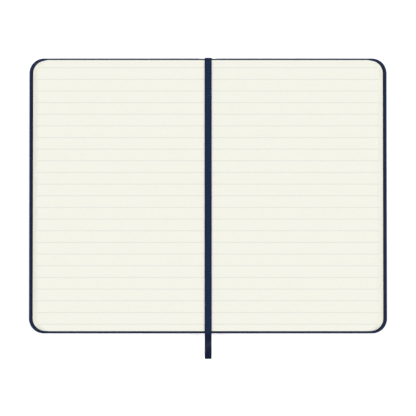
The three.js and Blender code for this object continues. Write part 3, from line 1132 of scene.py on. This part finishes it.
@dataclass
class Ribbon:
    """The ribbon marker, with its folded end at the head of the spine."""

    finishes: Finishes
    width: float = 3.52
    thickness: float = 0.22
    centre: float = 0.08  # it lies just right of the gutter
    start: float = 68.95  # y where the folded end takes over
    length: float = 0.1542  # metres, from the exit to the cut end
    drape: float = 0.11  # how far its edges hang below its middle
    drape_power: float = 2.5  # the higher, the nearer to the edges that is
    rib: float = 1.0
    rib_height: float = 0.018
    across_points: int = 17
    bead_inset: float = 0.2  # edge to the middle of the selvedge's bead
    bead_width: float = 0.13
    bead: float = 0.25  # how much thicker the bead is, as a share
    edge_power: int = 14  # the higher, the nearer to its edge the ribbon thins
    edge_share: float = 0.16  # square of the share of the thickness left at the edge
    step: float = 0.25  # spacing of the mesh along the ribbon
    fray: float = 0.06  # how uneven the cut end is
    fray_reach: float = 0.6
    crease: tuple[float, float] = (68.95, 68.7)  # y where it starts and ends bending as it lifts
    tail_shade_band: tuple[float, float] = (-0.5, 2.5)  # past the tail, where it is painted darker, as painted shade
    # strength of that painted shade
    tail_shade: float = 0.8
    bow: float = 0.26  # radius at which the folded end turns down
    fold_points: int = 26
    astride: tuple[float, float] = (0.42, 0.75)  # gutter to where the folded end may start and go fully down
    overhang: float = 0.1  # how far it reaches past the turn over the crest

    def build(self) -> None:
        """Makes and dresses the ribbon's pieces."""
        anchor = self.make_anchor()
        self.make_marker()

    def across(self) -> tuple[np.ndarray, np.ndarray]:
        """Places across the ribbon, and its thickness at each: beaded selvedges and a level middle."""
        place = np.sin(np.linspace(-math.pi / 2, math.pi / 2, self.across_points)) * self.width / 2
        bead = np.exp(-(((np.abs(place) - (self.width / 2 - self.bead_inset)) / self.bead_width) ** 2))
        level = 1 - (np.abs(place) / (self.width / 2)) ** self.edge_power
        thin = np.sqrt(np.clip(level, self.edge_share, 1))
        return place, self.thickness * thin * (1 + self.bead * bead)

    def band(self, name: str, y: np.ndarray, z: np.ndarray, lift: np.ndarray) -> bpy.types.Object:
        """Makes a woven band from a grid of points along and across its middle surface.

        Each point is moved half the thickness to each side, square to the band. Weft ribs make the band
        thicker and thinner along its length, as a sine.

        Args:
            name: Name of the piece.
            y: y of each point, along by across.
            z: z of each point.
            lift: Distance along the band of each point, for the ribs and the weave.

        Returns:
            The band's object.
        """
        place, thickness = self.across()
        along_y, along_z = np.gradient(y, axis=0), np.gradient(z, axis=0)
        size = np.hypot(along_y, along_z)
        normal_y, normal_z = along_z / size, -along_y / size
        body = thickness / 2 + self.rib_height / 2 * np.sin(lift * math.tau / self.rib)
        x = np.broadcast_to(place + self.centre, y.shape)
        sag = -self.drape * (np.abs(place) / (self.width / 2)) ** self.drape_power
        over = np.stack([x, y + normal_y * (sag + body), z + normal_z * (sag + body)], -1)
        under = np.stack([x, y + normal_y * (sag - body), z + normal_z * (sag - body)], -1)
        piece = put_mesh(name, *close_skins(over, under), self.finishes.ribbon, crease=60.0)
        uv = np.stack([np.broadcast_to(place, y.shape), lift], -1).reshape(-1, 2)
        put_uv(piece, "weave", np.tile(uv, (2, 1)))
        return piece

    def route(self) -> tuple[np.ndarray, np.ndarray]:
        """The ribbon's middle line at a fine even step.

        Each span between two route points is a cubic that has the route's own slope at both ends.

        Returns:
            Points (y, z), and the distance along at each.
        """
        knots = np.array([(self.start, RIBBON_ROUTE[0][1]), *RIBBON_ROUTE])
        gone = np.concatenate([[0], np.cumsum(np.linalg.norm(np.diff(knots, axis=0), axis=1))])
        slope = np.gradient(knots, gone, axis=0)
        fine = np.linspace(0, gone[-1], int(gone[-1] / self.step))
        span = np.clip(np.searchsorted(gone, fine, side="right") - 1, 0, len(knots) - 2)
        size = (gone[span + 1] - gone[span])[:, None]
        t = (fine[:, None] - gone[span][:, None]) / size
        path = ((2 * t**3 - 3 * t**2 + 1) * knots[span] + (t**3 - 2 * t**2 + t) * size * slope[span]
                + (3 * t**2 - 2 * t**3) * knots[span + 1] + (t**3 - t**2) * size * slope[span + 1])
        return path, fine

    def make_marker(self) -> bpy.types.Object:
        """Makes the free ribbon, from the head to its cut end on the table."""
        path, fine = self.route()
        place, _ = self.across()
        grid = (len(fine), len(place))
        y = np.broadcast_to(path[:, :1], grid).copy()
        z = np.broadcast_to(path[:, 1:], grid).copy()
        cut = np.random.default_rng(SEED).uniform(-self.fray, self.fray, len(place))
        y += cut * smoothstep(fine, fine[-1] - self.fray_reach, fine[-1])[:, None]
        lift = np.broadcast_to(fine[:, None], grid)
        piece = self.band("ribbon_band", y, z, lift)
        # painted shade on the end that hangs off the book
        before, after = self.tail_shade_band
        tail_shade = self.tail_shade * smoothstep(-y, self.start + before, self.start + after)
        put_attribute(piece, "tail_shade", np.tile(tail_shade.ravel(), 2))
        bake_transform(piece)
        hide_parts("ribbon_marker")
        return piece

    def make_anchor(self) -> bpy.types.Object:
        """Makes the end that is folded down over the head and glued on both sides of the spine's crest.

        The band runs level, turns down round a small quarter circle and hangs. Over the crest it stops
        before the turn, so that it sits astride the spine.
        """
        low, high = box_mm("ribbon_anchor")
        place, _ = self.across()
        level = RIBBON_ROUTE[0][1]
        flat = high[1] - self.thickness / 2 - self.bow - self.start
        turn = self.bow * math.pi / 2
        drop = level - self.bow - low[2]
        share = np.linspace(0, 1, self.fold_points)[:, None]
        near = 1 - smoothstep(np.abs(place + self.centre), *self.astride)
        gone = share * (flat + turn + drop) * (1 - near) + share * (flat + self.overhang) * near
        angle = np.clip((gone - flat) / self.bow, 0, math.pi / 2)
        y = self.start + np.minimum(gone, flat) + self.bow * np.sin(angle)
        z = level - self.bow * (1 - np.cos(angle)) - np.clip(gone - flat - turn, 0, None)
        piece = self.band("ribbon_fold", y, z, -gone)
        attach(piece, "ribbon_end")
        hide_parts("ribbon_anchor")
        return piece


# ------------------------------------------------------------------------------------------ the studio


@dataclass
class Studio:
    """Camera, soft lights, pale surroundings and the floor."""

    finishes: Finishes
    distance: float = 1.2  # metres from the camera to the book
    view_width: float = 211.8  # width that the picture covers, at the covers' edges
    sensor: float = 36.0
    aim_y: float = -6.24  # the book lies this much above the picture's middle
    back_y: float = -42.0  # the camera stands a little towards the tail
    edge_level: float = 1.2  # level at which view_width is meant
    # Name, direction round from +X, height above the table (both in degrees) and strength of each light.
    suns: tuple[tuple[str, float, float, float], ...] = (
        ("key", 12.0, 30.0, 1.36),
        ("fill", 165.0, 30.0, 1.24),
    )
    softness: float = 60.0  # how wide each light looks, in degrees
    floor_reach: float = 1500.0
    floor_level: float = -0.03
    floor_points: int = 9

    def place_camera(self) -> bpy.types.Object:
        """Makes the camera, which looks almost straight down with the head of the book at the top."""
        data = bpy.data.cameras.new("camera")
        data.sensor_width = self.sensor
        camera = bpy.data.objects.new("camera", data)
        target = Vector((0, self.aim_y * MM, self.edge_level * MM))
        camera.location = Vector((0, self.back_y * MM, self.distance + target.z))
        sight = target - camera.location
        data.lens = self.sensor * sight.length / (self.view_width * MM)
        data.clip_start, data.clip_end = 0.01, 20
        camera.rotation_euler = sight.to_track_quat("-Z", "Y").to_euler()
        bpy.context.scene.collection.objects.link(camera)
        bpy.context.scene.camera = camera
        return camera

    def light(self) -> None:
        """Makes the pale surroundings, dimmer overhead, and a broad soft light from each side."""
        world = bpy.data.worlds.new("white_tent")
        world.use_nodes = True
        tree = world.node_tree
        tree.nodes.clear()
        up = add_node(tree, "ShaderNodeSeparateXYZ", {
            0: add_node(tree, "ShaderNodeTexCoord").outputs["Generated"],
        }).outputs["Z"]
        strength = add_node(tree, "ShaderNodeMapRange", {
            "Value": up, "From Min": 0.45, "From Max": 1.0, "To Min": 1.06, "To Max": 0.29,
        }, interpolation_type="SMOOTHSTEP").outputs[0]
        sky = add_node(tree, "ShaderNodeBackground", {"Color": (1, 1, 1, 1), "Strength": strength})
        add_node(tree, "ShaderNodeOutputWorld", {"Surface": sky.outputs[0]})
        bpy.context.scene.world = world
        for name, azimuth, height, power in self.suns:
            lamp = bpy.data.lights.new(name, "SUN")
            lamp.energy = power
            lamp.angle = math.radians(self.softness)
            holder = bpy.data.objects.new(name, lamp)
            turn, tilt = math.radians(azimuth), math.radians(height)
            level = Vector((math.cos(turn), math.sin(turn), 0)) * math.cos(tilt)
            towards = level + Vector((0, 0, math.sin(tilt)))
            holder.rotation_euler = (-towards).to_track_quat("-Z", "Y").to_euler()
            bpy.context.scene.collection.objects.link(holder)
        bpy.context.scene.view_settings.view_transform = "Standard"

    def lay_floor(self) -> bpy.types.Object:
        """Lays the white sheet that the book is on."""
        reach = np.linspace(-self.floor_reach, self.floor_reach, self.floor_points)
        x, y = np.meshgrid(reach, reach)
        points = np.stack([x, y, np.full_like(x, self.floor_level)], -1).reshape(-1, 3)
        quads = grid_quads(self.floor_points, self.floor_points)
        floor = put_mesh("floor", points, quads, self.finishes.sweep)
        return floor


def main() -> None:
    """Builds the scene: the camera and the ribbon first, then the book, then the light and the floor."""
    logging.basicConfig(level=logging.INFO, format="%(name)s: %(message)s")
    finishes = Finishes()
    studio = Studio(finishes)
    studio.place_camera()
    Ribbon(finishes).build()
    for side in Side:
        Cover(side, finishes).build()
        TextBlock(side, finishes).build()
    Spine(finishes).build()
    studio.light()
    studio.lay_floor()


if __name__ == "__main__":
    main()
